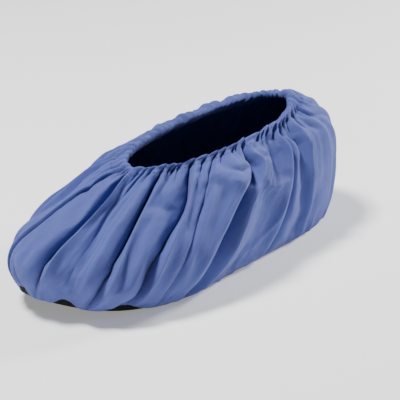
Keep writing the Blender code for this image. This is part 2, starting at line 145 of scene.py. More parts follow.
# Small creases and ridges that cross the folds: how wide each is, and its route as places round the cover, up
# the wall, and how far it stands off the cloth there, in millimetres. A crease is negative.
Crease = namedtuple("Crease", "width route")
CREASES = (
    Crease(2.2, (
        (0.383, 0.50, 0.0), (0.377, 0.38, 0.6), (0.369, 0.29, 1.4), (0.356, 0.22, 1.9),
        (0.340, 0.18, 2.0), (0.317, 0.16, 1.6), (0.288, 0.15, 0.4),
    )),
    Crease(3.2, (
        (0.258, 0.76, 0.2), (0.270, 0.72, 2.2), (0.284, 0.69, 2.8), (0.298, 0.70, 2.4),
        (0.303, 0.76, 0.4),
    )),
    Crease(3.0, ((0.256, 0.82, -1.0), (0.272, 0.79, -3.6), (0.288, 0.78, -2.4), (0.298, 0.80, -0.4))),
    Crease(3.0, ((0.343, 0.62, 0.2), (0.350, 0.55, 2.0), (0.362, 0.51, 2.6), (0.376, 0.51, 1.2))),
    Crease(3.4, (
        (0.340, 0.88, -1.2), (0.354, 0.80, -3.0), (0.363, 0.70, -4.0), (0.364, 0.60, -2.4),
        (0.360, 0.56, 0.0),
    )),
    Crease(3.6, ((0.369, 0.90, -2.4), (0.393, 0.80, -3.4), (0.404, 0.70, -2.6), (0.408, 0.60, -0.6))),
    Crease(2.0, (
        (0.400, 0.82, 0.2), (0.412, 0.72, 1.2), (0.418, 0.60, 1.8), (0.417, 0.50, 1.4),
        (0.413, 0.38, 0.6),
    )),
    Crease(3.2, ((0.426, 0.90, -2.4), (0.433, 0.78, -2.8), (0.442, 0.66, -0.4))),
    Crease(3.4, ((0.435, 0.98, -2.6), (0.448, 0.86, -3.0), (0.462, 0.75, -2.0), (0.474, 0.66, -0.2))),
    Crease(3.0, ((0.470, 0.97, -2.0), (0.480, 0.86, -2.8), (0.488, 0.76, -0.4))),
    Crease(2.6, ((0.322, 0.50, 0.2), (0.332, 0.46, 1.2), (0.343, 0.44, 1.2), (0.352, 0.45, 0.1))),
    Crease(3.4, ((0.186, 0.70, -0.2), (0.178, 0.69, -1.4), (0.168, 0.70, -1.4), (0.158, 0.71, -0.2))),
    Crease(2.6, ((0.240, 0.76, -1.8), (0.237, 0.66, -2.6), (0.234, 0.56, -1.8), (0.228, 0.46, -0.3))),
    Crease(2.6, ((0.000, 0.30, -0.4), (0.003, 0.20, -1.8), (0.006, 0.10, -2.6), (0.008, 0.02, -2.2))),
    Crease(2.4, ((0.965, 0.90, -0.4), (0.978, 0.86, -1.8), (0.990, 0.82, -1.6), (0.996, 0.78, -0.2))),
    Crease(2.6, ((0.030, 0.95, -2.4), (0.038, 0.88, -1.8), (0.045, 0.82, -0.2))),
    Crease(2.4, ((0.100, 0.97, -2.6), (0.112, 0.90, -2.0), (0.128, 0.83, -0.3))),
    Crease(3.2, ((0.112, 0.20, -0.2), (0.106, 0.10, -1.4), (0.100, 0.02, -1.2))),
    Crease(3.0, ((0.060, 0.22, -0.2), (0.055, 0.12, -1.6), (0.050, 0.02, -1.4))),
)

# Where folds lift the foot of the wall and bare the sole's edge, and how wide each lift is
Lift = namedtuple("Lift", "around width")
LIFTS = (
    Lift(0.998, 0.038),
    Lift(0.086, 0.032),
    Lift(0.174, 0.040),
    Lift(0.870, 0.026),
)

# How finely the cloth is made, and how much its columns crowd at the valleys and its rows at the ends
CLOTH_COLUMNS = 760
LEAST_COLUMNS = 14
WALL_ROWS = 84
VALLEY_CROWD = 0.45
ROW_CROWD = 0.06

# How a main fold rises and falls across its width, and how it grows up the wall, in shares of the wall's
# height. The folds of the toe cap start lower and grow more slowly, and lifts flatten the folds at the foot.
RIDGE_POWER = 0.85
VALLEY_POWER = 0.75
START_HEIGHT = 0.42
START_UP = 0.07
FULL_UP = 0.34
CAP_HEIGHT_LOSS = 0.38
CAP_FULL_DELAY = 0.12
HEAD_HEIGHT = 0.12
HEAD_SPAN = 0.20
LIFT_UP = 0.16
LIFT_FLATTENS = 0.85

# The gathers that the folds end in at the hem. The ranges are for the random numbers of each gather.
GATHER_HEIGHT = 0.0042
GATHER_STEEP = 0.62
GATHER_TOP = 0.965
GATHER_WIDTHS = (0.35, 1.75)
GATHER_REACHES = (0.72, 0.92)
GATHER_STRENGTHS = (0.55, 1.30)
DOME_POWER = 0.55
MOUTH_GIRTH = 0.44

# The cloth's small ripples, crinkles and puckers
RIPPLE_HEIGHT = 0.0010
FINE_RIPPLE_HEIGHT = 0.0006
CRINKLE_DEPTH = 0.0006
CRINKLE_WIDTH = 0.30
PUCKER_HEIGHT = 0.0004
HEEL_PUCKER_HEIGHT = 0.0008
CREASE_POWER = 1.35
CREASE_REACH = 5

# The hem's stitched line draws the cloth in, and the far side's edge rolls over at the seam
DRAWN_UP = 0.972
DRAWN_SPAN = 0.016
DRAWN_CREST = 0.0008
DRAWN_PINCH = 0.0022
SEAM_ROLL = 0.0070
SEAM_ROLL_HEIGHT = 0.0022

# The hem's ruffles and section, and the edges that are turned under, as ways inward and up
RUFFLES = 84
RUFFLE_HEIGHT = 0.0030
RUFFLE_DIP = 0.0009
RUFFLE_LEAN = 0.0022
HEM_PROUD = 0.0002
HEM_LEAST = 0.0060
HEM_DIP = 0.0034
HEM_DIP_STEEP = 0.30
HEM_INNER = 0.0011
HEM_OUTER = 0.0004
HEM_CREST = 0.0024
HEM_PUFF = 0.0008
HEM_FLARE = 0.0010
HEM_LOW = 0.0022
HEM_CALM_START = 0.0003
HEM_CALM_STEP = 0.0002
HEM_CALM = 0.0014
HEM_TUCK = ((0.0008, -0.0006), (0.0003, -0.0008), (-0.0004, -0.0003), (-0.0006, 0.0010), (-0.0006, 0.0030))
FOOT_TUCK = ((0.0016, 0.0055), (0.0015, 0.0028), (0.0012, 0.0008), (0.0005, -0.0002))

# What is cut sharp once the cloth has settled, how wide the painted highlight along the ridges is, and how
# strong the painted shade in the hard valleys is
SEAM_DEPTH = 0.0042
SEAM_WIDTH = 0.0011
VALLEY_DEPTH = 0.0034
VALLEY_WIDTH = 0.0017
RIDGE_EDGE = 0.0005
RIDGE_WIDTH = 0.0025
PAINTED_HIGHLIGHT_WIDTH = 0.0016
PINCH_DEPTH = 0.0017
PINCH_WIDTH = 0.0010
PAINTED_VALLEY_SHADE_SHARE = 0.70

# The settling, on a larger copy. A shrink below nothing lets the cloth grow a little, so that it billows.
SIM_SCALE = 10.0
SIM_FRAMES = 16
SHRINK = -0.022
HOLD_FOOT = 0.10
HOLD_HEAD = 0.12
HOLD_SEAM = 0.02
HOLD_LEAST = 0.07
SETTLE_LIMIT = 0.008
CLOTH_SETTINGS = {
    "quality": 6,
    "mass": 0.15,
    "air_damping": 1.0,
    "tension_stiffness": 25.0,
    "compression_stiffness": 25.0,
    "shear_stiffness": 8.0,
    "bending_stiffness": 0.5,
    "tension_damping": 10.0,
    "compression_damping": 10.0,
    "vertex_group_mass": "held",
    "pin_stiffness": 1.0,
    "shrink_min": SHRINK,
    "shrink_max": SHRINK,
}

# The hem's stitches: where they run on the wall, and the size and form of each
STITCH_UP = 0.966
STITCH_PITCH = 0.0031
STITCH_LENGTH = 0.0025
STITCH_RADIUS = 0.00028
STITCH_ARCH = 2.2
STITCH_SINK = 0.9
STITCH_TIP = 0.35
STITCH_RINGS = 5
STITCH_SIDES = 6

# The sole's sheet, which bulges where a fold bares it, and the elastic band's section
SOLE_COLUMNS = 360
SOLE_BULGE = 0.0022
BAND_COLUMNS = 240
BAND_INSET = 0.0004
BAND_LOW = 0.001
BAND_HIGH = 0.0038
BAND_THICKNESS = 0.0006
BAND_LENGTH = 0.43

# Colours and the weave
CLOTH_BLUE = (0.078, 0.103, 0.350)
# A paler blue painted along the ridges as a highlight, and a dark blue painted into the hard valleys and the
# seam as shade
PAINTED_HIGHLIGHT_BLUE = (0.135, 0.170, 0.450)
PAINTED_SHADE_BLUE = (0.014, 0.022, 0.100)
YARN_PERIOD = 0.0006

# The camera, as fitted to the photo's outline: angles in degrees, and pixels of a 400 by 400 frame
AZIMUTH = -46.14
ELEVATION = 23.67
DISTANCE = 1.160
IMAGE_SIZE = 400.0
FOCAL_PIXELS = 1467.3
SENSOR = 36.0
AIM_HEIGHT = 0.050
AIM_PIXEL = (185.65, 195.37)


def scaled(colour, share):
    return tuple(min(channel * share, 1.0) for channel in colour)


def within(share):
    """A share held from 0 to 1."""
    return np.clip(share, 0.0, 1.0)


def smooth(share):
    share = within(share)
    return share * share * (3.0 - 2.0 * share)


def unit(rows):
    """Each row's direction, as a vector of length 1."""
    return rows / np.linalg.norm(rows, axis=1)[:, None]


def near_place(around, place, least, span):
    """From 0 to 1 as the cloth comes near a place, by the cosine of the way round to it."""
    return smooth((np.cos(TURN * (around - place)) - least) / span)


def lengths_along(points):
    """How far along a line each of its points lies."""
    return np.concatenate([[0.0], np.cumsum(np.linalg.norm(np.diff(points, axis=0), axis=1))])


def read_line(at, length, points):
    """Points read along a line, at lengths or other places that rise along it."""
    return np.stack([np.interp(at, length, column) for column in points.T], axis=1)


def hermite(places, values, at, period=None):
    """Values at places, joined by a smooth curve and read at other places. A period closes it."""
    places = np.asarray(places, float)
    values = np.asarray(values, float)
    if period:
        places = np.concatenate([places[-2:] - period, places, places[:3] + period])
        values = np.concatenate([values[-2:], values, values[:3]])
    slopes = np.gradient(values, places, axis=0)
    index = np.clip(np.searchsorted(places, at, side="right") - 1, 0, len(places) - 2)
    span = (places[index + 1] - places[index])[:, None]
    share = (np.asarray(at)[:, None] - places[index][:, None]) / span
    start, end = values[index], values[index + 1]
    leave, arrive = slopes[index] * span, slopes[index + 1] * span
    square, cube = share**2, share**3
    return (
        (2 * cube - 3 * square + 1) * start
        + (cube - 2 * square + share) * leave
        + (3 * square - 2 * cube) * end
        + (cube - square) * arrive
    )


def evenly(loop, start, middle, at):
    """Reads a closed loop of points by length: place 0 is at start, and 0.5 is at middle."""
    loop = np.roll(loop, -start, axis=0)
    middle = (middle - start) % len(loop)
    closed = np.concatenate([loop, loop[:1]])
    length = lengths_along(closed)
    place = np.where(
        length <= length[middle],
        0.5 * length / length[middle],
        0.5 + 0.5 * (length - length[middle]) / (length[-1] - length[middle]),
    )
    return read_line(at, place, closed)


def edge_loop():
    rows = np.array(SOLE_EDGE)
    along = (rows[:, 0] - 0.5) * SOLE_LENGTH
    across = 0.5 * (rows[:, 1] * BALL_WIDTH + rows[:, 2] * HEEL_WIDTH)
    corners = np.stack([along, across], axis=1)
    hops = np.linalg.norm(np.diff(np.concatenate([corners, corners[:1]]), axis=0), axis=1)
    knots = np.concatenate([[0.0], np.cumsum(np.sqrt(hops))])
    fine = np.linspace(0.0, knots[-1], FINE_STEPS, endpoint=False)
    return hermite(knots[:-1], corners, fine, period=knots[-1])


EDGE_LOOP = edge_loop()
HEEL_INDEX = int(np.argmax(EDGE_LOOP[:, 0]))


def sole_edge(at):
    """Points of the sole's edge, seen from above, and the way out from it there."""
    step = 2.0 / FINE_STEPS
    points = evenly(EDGE_LOOP, 0, HEEL_INDEX, np.mod(at, 1.0))
    ahead = evenly(EDGE_LOOP, 0, HEEL_INDEX, np.mod(at + step, 1.0))
    behind = evenly(EDGE_LOOP, 0, HEEL_INDEX, np.mod(at - step, 1.0))
    way = ahead - behind
    return points, unit(np.stack([way[:, 1], -way[:, 0]], axis=1))


def spring(x):
    """How far the toe lifts the sole from the ground."""
    ball = (SOLE_EDGE[2].along - 0.5) * SOLE_LENGTH
    toe = -0.5 * SOLE_LENGTH
    return TOE_SPRING * np.clip((ball - x) / (ball - toe), 0.0, None) ** 2


def mouth(at):
    """Points where the wall's head enters the hem."""
    turn = TURN * np.arange(FINE_STEPS) / FINE_STEPS
    loop = np.stack([-0.5 * MOUTH_LENGTH * np.cos(turn), -0.5 * MOUTH_WIDTH * np.sin(turn)], axis=1)
    points = evenly(loop, 0, FINE_STEPS // 2, np.mod(at, 1.0))
    share = points[:, 0] / MOUTH_LENGTH + 0.5
    height = MOUTH_FRONT_HEIGHT + (MOUTH_REAR_HEIGHT - MOUTH_FRONT_HEIGHT) * share
    height = height - MOUTH_SAG * 4 * share * (1 - share)
    return np.stack([points[:, 0] + MOUTH_SETBACK, points[:, 1], height], axis=1)


def spline_weights(share):
    """Weights of six control points for a curve that starts at the first and ends at the last."""
    knots = np.array([0, 0, 0, 0, 1 / 3, 2 / 3, 1, 1, 1, 1])
    share = np.clip(np.asarray(share, float), 0.0, 1.0 - 1e-9)
    weights = np.stack([(knots[i] <= share) & (share < knots[i + 1]) for i in range(9)], axis=-1) * 1.0
    for degree in (1, 2, 3):
        raised = []
        for i in range(9 - degree):
            rise, fall = knots[i + degree] - knots[i], knots[i + degree + 1] - knots[i + 1]
            left = (share - knots[i]) / rise if rise else 0.0
            right = (knots[i + degree + 1] - share) / fall if fall else 0.0
            raised.append(left * weights[..., i] + right * weights[..., i + 1])
        weights = np.stack(raised, axis=-1)
    return weights


def lift_at(around):
    """How far folds lift the foot of the wall, from 0 to 1."""
    lift = sum(
        np.exp(-(((np.mod(around - row.around + 0.5, 1.0) - 0.5) / (0.5 * row.width)) ** 2)) for row in LIFTS
    )
    return within(lift)


def wall_controls(around):
    """The six control points of the wall's form in each column, foot first."""
    edge, out = sole_edge(around - FOLD_SLANT * np.sin(TURN * around))
    head = mouth(around)
    form = hermite(
        [row.around for row in SECTIONS], [row[1:] for row in SECTIONS], np.mod(around, 1.0), period=1.0
    )
    form = dict(zip(Section._fields[1:], form.T))
    base = spring(edge[:, 0])
    half = 0.5 * BALL_WIDTH

    def beside(distance, height):
        spot = edge + out * np.broadcast_to(distance, len(edge))[:, None]
        return np.column_stack([spot, base + height])

    def between(share, height):
        belly = edge + out * (half * form["belly_out"])[:, None]
        spot = belly + (head[:, :2] - belly) * share[:, None]
        return np.column_stack([spot, base + (head[:, 2] - base) * height])

    rise = head[:, 2] - base
    return np.stack(
        [
            beside(LAP, FOOT_HEIGHT + FOOT_LIFT * lift_at(around)),
            beside(LAP + half * form["low_out"], rise * form["low_height"]),
            beside(LAP + half * form["belly_out"], rise * form["belly_height"]),
            between(form["shoulder_in"], form["shoulder_height"]),
            between(form["neck_in"], form["neck_height"]),
            head,
        ]
    )


def wall_form(around, up):
    weights = spline_weights(np.full(len(around), up))
    return np.einsum("nc,cnk->nk", weights, wall_controls(around))


def wall_frame(around, up):
    """The form's point, its way out and its way up in each column."""
    step = 1e-3
    point = wall_form(around, up)
    along = wall_form(around + step, up) - wall_form(around - step, up)
    rise = wall_form(around, min(up + step, 1.0)) - wall_form(around, max(up - step, 0.0))
    return point, unit(np.cross(along, rise)), unit(rise)


# The form is made round the middle of the sole, and the frame's origin is the middle of the whole part
sole_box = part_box("sole")
edge_low = EDGE_LOOP.min(axis=0)
SHIFT = np.array([sole_box[0].x - edge_low[0], sole_box[0].y - edge_low[1], 0.0])


def steady(seed, count, low=0.0, high=1.0):
    """Repeatable random numbers."""
    return np.random.default_rng(seed).uniform(low, high, count)


def noise_on(points, scale, seed):
    """Smooth noise from -1 to 1 at points."""
    offset = Vector((seed * 17.3, seed * 5.1, seed * 9.7))
    return np.array([noise.noise(Vector(p) * scale + offset) for p in points])


class Cloth:
    """The columns of the cloth: the fold and the gather that each is on, and the shares across them."""

    def __init__(self):
        middle = np.array([fold.middle for fold in FOLDS] + [FOLDS[0].middle + 1.0])
        counts = np.maximum(np.round(np.diff(middle) * CLOTH_COLUMNS), LEAST_COLUMNS).astype(int)
        self.fold = np.concatenate([np.full(n, i) for i, n in enumerate(counts)] + [[len(FOLDS) - 1]])
        even = np.concatenate([np.arange(n) / n for n in counts] + [[1.0]])
        self.share = even - VALLEY_CROWD * np.sin(TURN * even) / TURN
        self.count = len(self.fold)
        self.level = self.levels()
        self.make_gathers()

    def levels(self):
        """The height of the folds in each column, as a share of FOLD_HEIGHT."""
        table = {name: np.array([getattr(fold, name) for fold in FOLDS], float) for name in Fold._fields}
        at = {name: column[self.fold] for name, column in table.items()}
        ahead = {name: np.roll(table[name], -1)[self.fold] for name in ("valley", "soft")}
        share = self.share

        def part(start, end):
            return within((share - start) / (end - start))

        rise = part(0.0, at["ridge_at"])
        steep = np.sin(0.5 * math.pi * rise) ** RIDGE_POWER
        first = at["valley"] + (at["ridge"] - at["valley"]) * np.where(at["soft"] > 0, smooth(rise), steep)
        sink = part(at["ridge_at"], at["trough_at"])
        sag = np.where(at["trough"] < at["ridge"], 1.0 - (1.0 - sink) ** 2, smooth(sink))
        second = at["ridge"] + (at["trough"] - at["ridge"]) * sag
        climb = part(at["trough_at"], at["crest_at"])
        third = at["trough"] + (at["crest"] - at["trough"]) * smooth(climb)
        drop = part(at["crest_at"], 1.0)
        fall = np.where(ahead["soft"] > 0, smooth(drop), 1.0 - np.cos(0.5 * math.pi * drop) ** VALLEY_POWER)
        fourth = at["crest"] + (ahead["valley"] - at["crest"]) * fall
        ends = [share < at[name] for name in ("ridge_at", "trough_at", "crest_at")]
        return np.select(ends, [first, second, third], fourth)

    def make_gathers(self):
        """Splits each fold's columns into gathers of uneven widths, reaches and strengths."""
        self.gather = np.zeros(self.count, int)
        self.across = np.zeros(self.count)
        total = 0
        for i, fold in enumerate(FOLDS):
            widths = steady(100 + i, fold.gathers, *GATHER_WIDTHS)
            ends = np.concatenate([[0.0], np.cumsum(widths) / widths.sum()])
            mine = self.fold == i
            inside = np.clip(np.searchsorted(ends, self.share[mine], side="right") - 1, 0, fold.gathers - 1)
            self.gather[mine] = total + inside
            self.across[mine] = (self.share[mine] - ends[inside]) / (ends[inside + 1] - ends[inside])
            total += fold.gathers
        self.across = within(self.across)
        self.reach = steady(7, total, *GATHER_REACHES)
        self.strength = steady(8, total, *GATHER_STRENGTHS)
        self.gathers = total

    def places(self, up):
        table = np.array([fold[:5] for fold in FOLDS]).T
        at = hermite(FOLD_HEIGHTS, table, [up])[0]
        at = np.append(at, at[0] + 1.0)
        return at[self.fold] + (at[self.fold + 1] - at[self.fold]) * self.share

    def gather_widths(self, up):
        """How wide each column's gather is, in metres, where the mouth is."""
        around = self.places(up)
        starts = np.array([around[np.argmax(self.gather == i)] for i in range(self.gathers)] + [around[-1]])
        return (np.diff(starts) * MOUTH_GIRTH)[self.gather]

    def gather_heights(self):
        """How far each column's gather stands out on its crest. Narrow gathers stay low."""
        return np.minimum(GATHER_HEIGHT * self.strength[self.gather], GATHER_STEEP * self.gather_widths(1.0))

    def gather_dome(self):
        """The rounded profile of the gathers at the hem, from 0 in the pinches to 1 on the crests."""
        return within(np.sin(math.pi * self.across)) ** DOME_POWER

    def fold_rise(self, up):
        """How far the main folds and their gathers stand off the form at a height of the wall."""
        cap = near_place(self.places(up), 0.02, 0.80, 0.12)
        start = START_HEIGHT - CAP_HEIGHT_LOSS * cap
        swell = start * smooth(up / START_UP) + (1.0 - start) * smooth(up / (FULL_UP + CAP_FULL_DELAY * cap))
        fade = HEAD_HEIGHT + (1.0 - HEAD_HEIGHT) * smooth((1.0 - up) / HEAD_SPAN)
        fade = fade * smooth((1.01 - up) / 0.05)
        wave = 1.0 + 0.10 * np.sin(5.3 * up + 2.1 * self.fold) + 0.05 * np.sin(11.0 * up + 3.7 * self.fold)
        folds = FOLD_HEIGHT * self.level * wave * swell * fade
        reach = self.reach[self.gather]
        near = within((up - reach) / (GATHER_TOP - reach)) ** 1.2
        gathers = self.gather_heights() * self.gather_dome() * near
        bared = lift_at(self.places(0.0)) * smooth((LIFT_UP - up) / LIFT_UP)
        return folds * (1.0 - LIFT_FLATTENS * bared) + gathers


cloth = Cloth()


def crease_lines():
    """Each small crease as a smooth line of points on the form, with its height at each, and its width."""
    lines = []
    for crease in CREASES:
        nodes = np.array(crease.route)
        nodes = hermite(np.arange(len(nodes)), nodes, np.linspace(0, len(nodes) - 1, 5 * len(nodes)))
        line = np.array([wall_form(np.array([a]), min(max(u, 0.0), 1.0))[0] for a, u, _ in nodes])
        lines.append((line, nodes[:, 2], 0.001 * crease.width))
    return lines


CREASE_LINES = crease_lines()


def crease_lift(points):
    """How far the small creases and ridges lift each point of the cloth."""
    total = np.zeros(len(points))
    for line, heights, width in CREASE_LINES:
        low, high = line.min(axis=0) - CREASE_REACH * width, line.max(axis=0) + CREASE_REACH * width
        inside = np.all((points > low) & (points < high), axis=1)
        if not inside.any():
            continue
        spots = points[inside]
        nearest = np.full(len(spots), np.inf)
        height = np.zeros(len(spots))
        for i in range(len(line) - 1):
            way = line[i + 1] - line[i]
            share = within((spots - line[i]) @ way / (way @ way))
            distance = np.linalg.norm(spots - line[i] - share[:, None] * way, axis=1)
            closer = distance < nearest
            nearest[closer] = distance[closer]
            height[closer] = (heights[i] + (heights[i + 1] - heights[i]) * share)[closer]
        total[inside] += 0.001 * height * np.exp(-np.minimum((nearest / width) ** CREASE_POWER, 30.0))
    return total


def grain_points(around, up):
    """Places on a closed strip for noise that runs along the folds."""
    turn = TURN * around
    return np.column_stack([np.cos(turn), np.sin(turn), np.full(len(around), up)])


def wall_points(up):
    """The cloth's points at a height of the wall, and the way out there."""
    around = cloth.places(up)
    point, out, _ = wall_frame(around, up)
    along_folds = grain_points(cloth.places(0.5), 0.24 * up)
    across_folds = grain_points(around, 0.9 * up)
    ripple = noise_on(along_folds, 7.0, 1) * RIPPLE_HEIGHT + noise_on(across_folds, 4.0, 2) * RIPPLE_HEIGHT
    ripple = ripple + noise_on(across_folds, 10.0, 3) * FINE_RIPPLE_HEIGHT
    line = np.abs(noise_on(along_folds, 7.0, 4) + 0.3 * noise_on(across_folds, 6.0, 5))
    crinkle = -CRINKLE_DEPTH * smooth(1.0 - line / CRINKLE_WIDTH)
    toe = near_place(around, 0.0, 0.80, 0.16)
    middle = smooth(up / 0.15) * smooth((1.0 - up) / 0.10) * (1.0 - 0.75 * toe)
    heel = near_place(around, 0.45, -0.5, 1.2)
    beat = np.sin(TURN * 61 * around + 3.0 * np.sin(TURN * 5 * around))
    beat = beat + 0.5 * np.sin(TURN * 97 * around + 2.0 * np.sin(TURN * 7 * around))
    pucker = (0.5 + 0.5 * beat) * (PUCKER_HEIGHT + HEEL_PUCKER_HEIGHT * heel)
    foot = smooth((0.13 - up) / 0.12) * smooth(up / 0.012)
    lift = cloth.fold_rise(up) + (ripple + crinkle) * middle + pucker * foot
    lift = lift + crease_lift(point) * smooth((1.0 - up) / 0.03)
    drawn = math.exp(-(((up - DRAWN_UP) / DRAWN_SPAN) ** 2))
    lift = lift - drawn * (DRAWN_CREST + DRAWN_PINCH * (1.0 - cloth.gather_dome()))
    far_side = np.where(np.arange(cloth.count) > cloth.count // 2, around[-1] - around, 1.0) / SEAM_ROLL
    roll = np.exp(-(far_side**2)) * smooth(far_side / 0.25)
    lift = lift + SEAM_ROLL_HEIGHT * roll * smooth((0.96 - up) / 0.05) * smooth(up / 0.20)
    return point + out * lift[:, None], out


def placed(name, data):
    """An object in the scene that shows the data."""
    obj = bpy.data.objects.new(name, data)
    bpy.context.scene.collection.objects.link(obj)
    return obj


def mesh_object(name, points, faces):
    mesh = bpy.data.meshes.new(name)
    mesh.from_pydata(np.asarray(points).tolist(), [], faces)
    mesh.shade_smooth()
    return placed(name, mesh)


def grid_faces(rows, columns, closed=False, start=0):
    """Faces between rows of points, counted from a start. Closed rows join their ends."""
    return [
        (low + i, low + (i + 1) % columns, low + columns + (i + 1) % columns, low + columns + i)
        for low in range(start, start + (rows - 1) * columns, columns)
        for i in range(columns if closed else columns - 1)
    ]


def make_grid(name, rows, lengths):
    """A sheet from rows of points, with its flat lengths across and up as a point attribute."""
    count = len(rows[0])
    across, up = lengths
    obj = mesh_object(name, np.concatenate(rows), grid_faces(len(rows), count))
    flat = np.column_stack([np.tile(across, len(rows)), np.repeat(up, count), np.zeros(len(rows) * count)])
    obj.data.attributes.new("flat", "FLOAT_VECTOR", "POINT").data.foreach_set("vector", flat.ravel())
    return obj


def calmed(row, width):
    """Rounds a closed row of points at the hem over a width. Its last point repeats the first."""
    around = cloth.places(1.0)
    spacing = 0.5 * (np.roll(np.diff(around), 1) + np.diff(around))
    gap = np.abs(around[:-1, None] - around[None, :-1])
    weights = np.exp(-((np.minimum(gap, 1.0 - gap) * MOUTH_GIRTH / width) ** 2)) * spacing
    ring = (weights / weights.sum(axis=1)[:, None]) @ row[:-1]
    return np.concatenate([ring, ring[:1]])


def hem_rows():
    """Rows of the cloth over the hem: up the outside, over the crest, down the inside and turned under."""
    around = cloth.places(1.0)
    point, out, rise = wall_frame(around, 1.0)
    along = np.cross(rise, out)
    dome, strength = cloth.gather_dome(), cloth.strength[cloth.gather]
    outer = cloth.gather_heights() * dome
    turn = TURN * around
    ring = grain_points(around, 0.0)
    lean = noise_on(ring, 5.0, 11)
    crowd = RUFFLES * turn + 3.0 * noise_on(ring, 6.0, 12)
    ruffle = np.abs(np.sin(0.5 * crowd)) ** 0.8 * (0.75 + 0.5 * noise_on(ring, 10.0, 13))
    dip = np.minimum(HEM_DIP * strength, HEM_DIP_STEEP * cloth.gather_widths(1.0)) * (1.0 - dome)
    inner = HEM_INNER + RUFFLE_HEIGHT * ruffle
    top = np.maximum(HEM_HEIGHT + HEM_PROUD - dip - RUFFLE_DIP * (1.0 - ruffle), HEM_LEAST)
    half = 0.5 * (outer + HEM_OUTER + inner)
    centre = 0.5 * (outer + HEM_OUTER - inner)
    rows = []

    def row(distance, height):
        slide = RUFFLE_LEAN * lean * np.clip(height / HEM_HEIGHT, 0.0, 1.2)
        spot = point + out * np.broadcast_to(distance, len(turn))[:, None]
        spot = spot + rise * np.broadcast_to(height, len(turn))[:, None]
        rows.append(spot + along * slide[:, None])

    for share in np.linspace(0.12, 1.0, 7):
        swell = math.sin(math.pi * min(share * 0.9, 1.0)) * HEM_PUFF
        row(outer + swell * (1.0 + 0.30 * strength) * dome + HEM_OUTER * share, (top - HEM_CREST) * share)
    for share in np.linspace(0.12, 1.0, 9):
        turned = math.pi * share
        row(centre + half * math.cos(turned), top - HEM_CREST + HEM_CREST * math.sin(turned))
    ease = 0.6 + 0.6 * ruffle
    for share in np.linspace(0.14, 1.0, 8):
        flare = 0.5 * HEM_FLARE * math.sin(math.pi * share) + HEM_FLARE * share**2
        row(-inner - flare * (0.6 + ruffle), (top - HEM_CREST) * (1.0 - share) - HEM_LOW * share * ease)
    for inward, height in HEM_TUCK:
        row(-inner - HEM_FLARE * (0.6 + ruffle) * 0.6 - inward, -HEM_LOW * ease + height)
    widths = [min(HEM_CALM_START + HEM_CALM_STEP * index, HEM_CALM) for index in range(len(rows))]
    return [calmed(points, width) for points, width in zip(rows, widths)]


def sharpen(wall, outs, ups):
    """Cuts the seam, the hard valleys and the pinches between gathers, and edges the ridges, because settling
    leaves them soft. Also gives masks from 0 to 1: painted shade in the hard valleys and the seam, and a
    painted highlight along the ridges."""
    hops = np.linalg.norm(np.diff(wall, axis=1), axis=2)
    length = np.concatenate([np.zeros((len(wall), 1)), np.cumsum(hops, axis=1)], axis=1)
    ends = 0.10 + 0.90 * smooth((ups - 0.08) / 0.32)
    ends = (ends * smooth(ups / 0.04) * smooth((1.0 - ups) / 0.10))[:, None]
    lift, painted_shade, painted_highlight = (np.zeros(length.shape) for _ in range(3))

    def beside(column, width, power):
        return np.exp(-((np.abs(length - length[:, column, None]) / width) ** power))

    for i, fold in enumerate(FOLDS[1:], 1):
        if fold.soft:
            continue
        start = int(np.argmax(cloth.fold == i))
        crest = int(np.argmin(np.abs(cloth.share - fold.ridge_at) + 9.0 * (cloth.fold != i)))
        depth = within(0.25 - 2.0 * fold.valley)
        ridge = within(fold.ridge)
        lift -= VALLEY_DEPTH * depth * beside(start, VALLEY_WIDTH, 1.5) * ends
        lift += RIDGE_EDGE * ridge * beside(crest, RIDGE_WIDTH, 1.4) * ends
        # Painted shade: a mask that darkens the cloth's colour in each hard valley
        painted_shade = np.maximum(painted_shade, depth * beside(start, 1.3 * VALLEY_WIDTH, 1.5) * ends)
        # Painted highlight: a mask that lightens the cloth's colour along each sharp ridge
        painted_highlight = np.maximum(painted_highlight, ridge * beside(crest, PAINTED_HIGHLIGHT_WIDTH, 1.4) * ends)
    for i in range(1, cloth.gathers):
        start = int(np.argmax(cloth.gather == i))
        near = smooth((ups - cloth.reach[cloth.gather[start]]) / 0.20) * smooth((1.0 - ups) / 0.03)
        lift -= PINCH_DEPTH * near[:, None] * beside(start, PINCH_WIDTH, 1.5)
    from_seam = np.minimum(length, length[:, -1:] - length)
    fade = (smooth((0.93 - ups) / 0.08) * (0.35 + 0.65 * smooth(ups / 0.25)))[:, None]
    lift -= SEAM_DEPTH * fade * np.exp(-((from_seam / SEAM_WIDTH) ** 1.5))
    # Painted shade: a mask that darkens the cloth's colour along the seam's groove
    seam = fade * np.exp(-((from_seam / (0.95 * SEAM_WIDTH)) ** 2))
    return wall + outs * lift[:, :, None], np.maximum(PAINTED_VALLEY_SHADE_SHARE * painted_shade, seam), painted_highlight


def calm(rows):
    """Mixes each row with its neighbours. The first and the last stay."""
    mixed = rows.copy()
    mixed[1:-1] = 0.25 * rows[:-2] + 0.5 * rows[1:-1] + 0.25 * rows[2:]
    return mixed


def held_at_ends(share, first, last):
    """1 at both ends of a way, falling to 0 over the first and the last part of it."""
    return within(1.0 - share / first) + within(1.0 - (1.0 - share) / last)


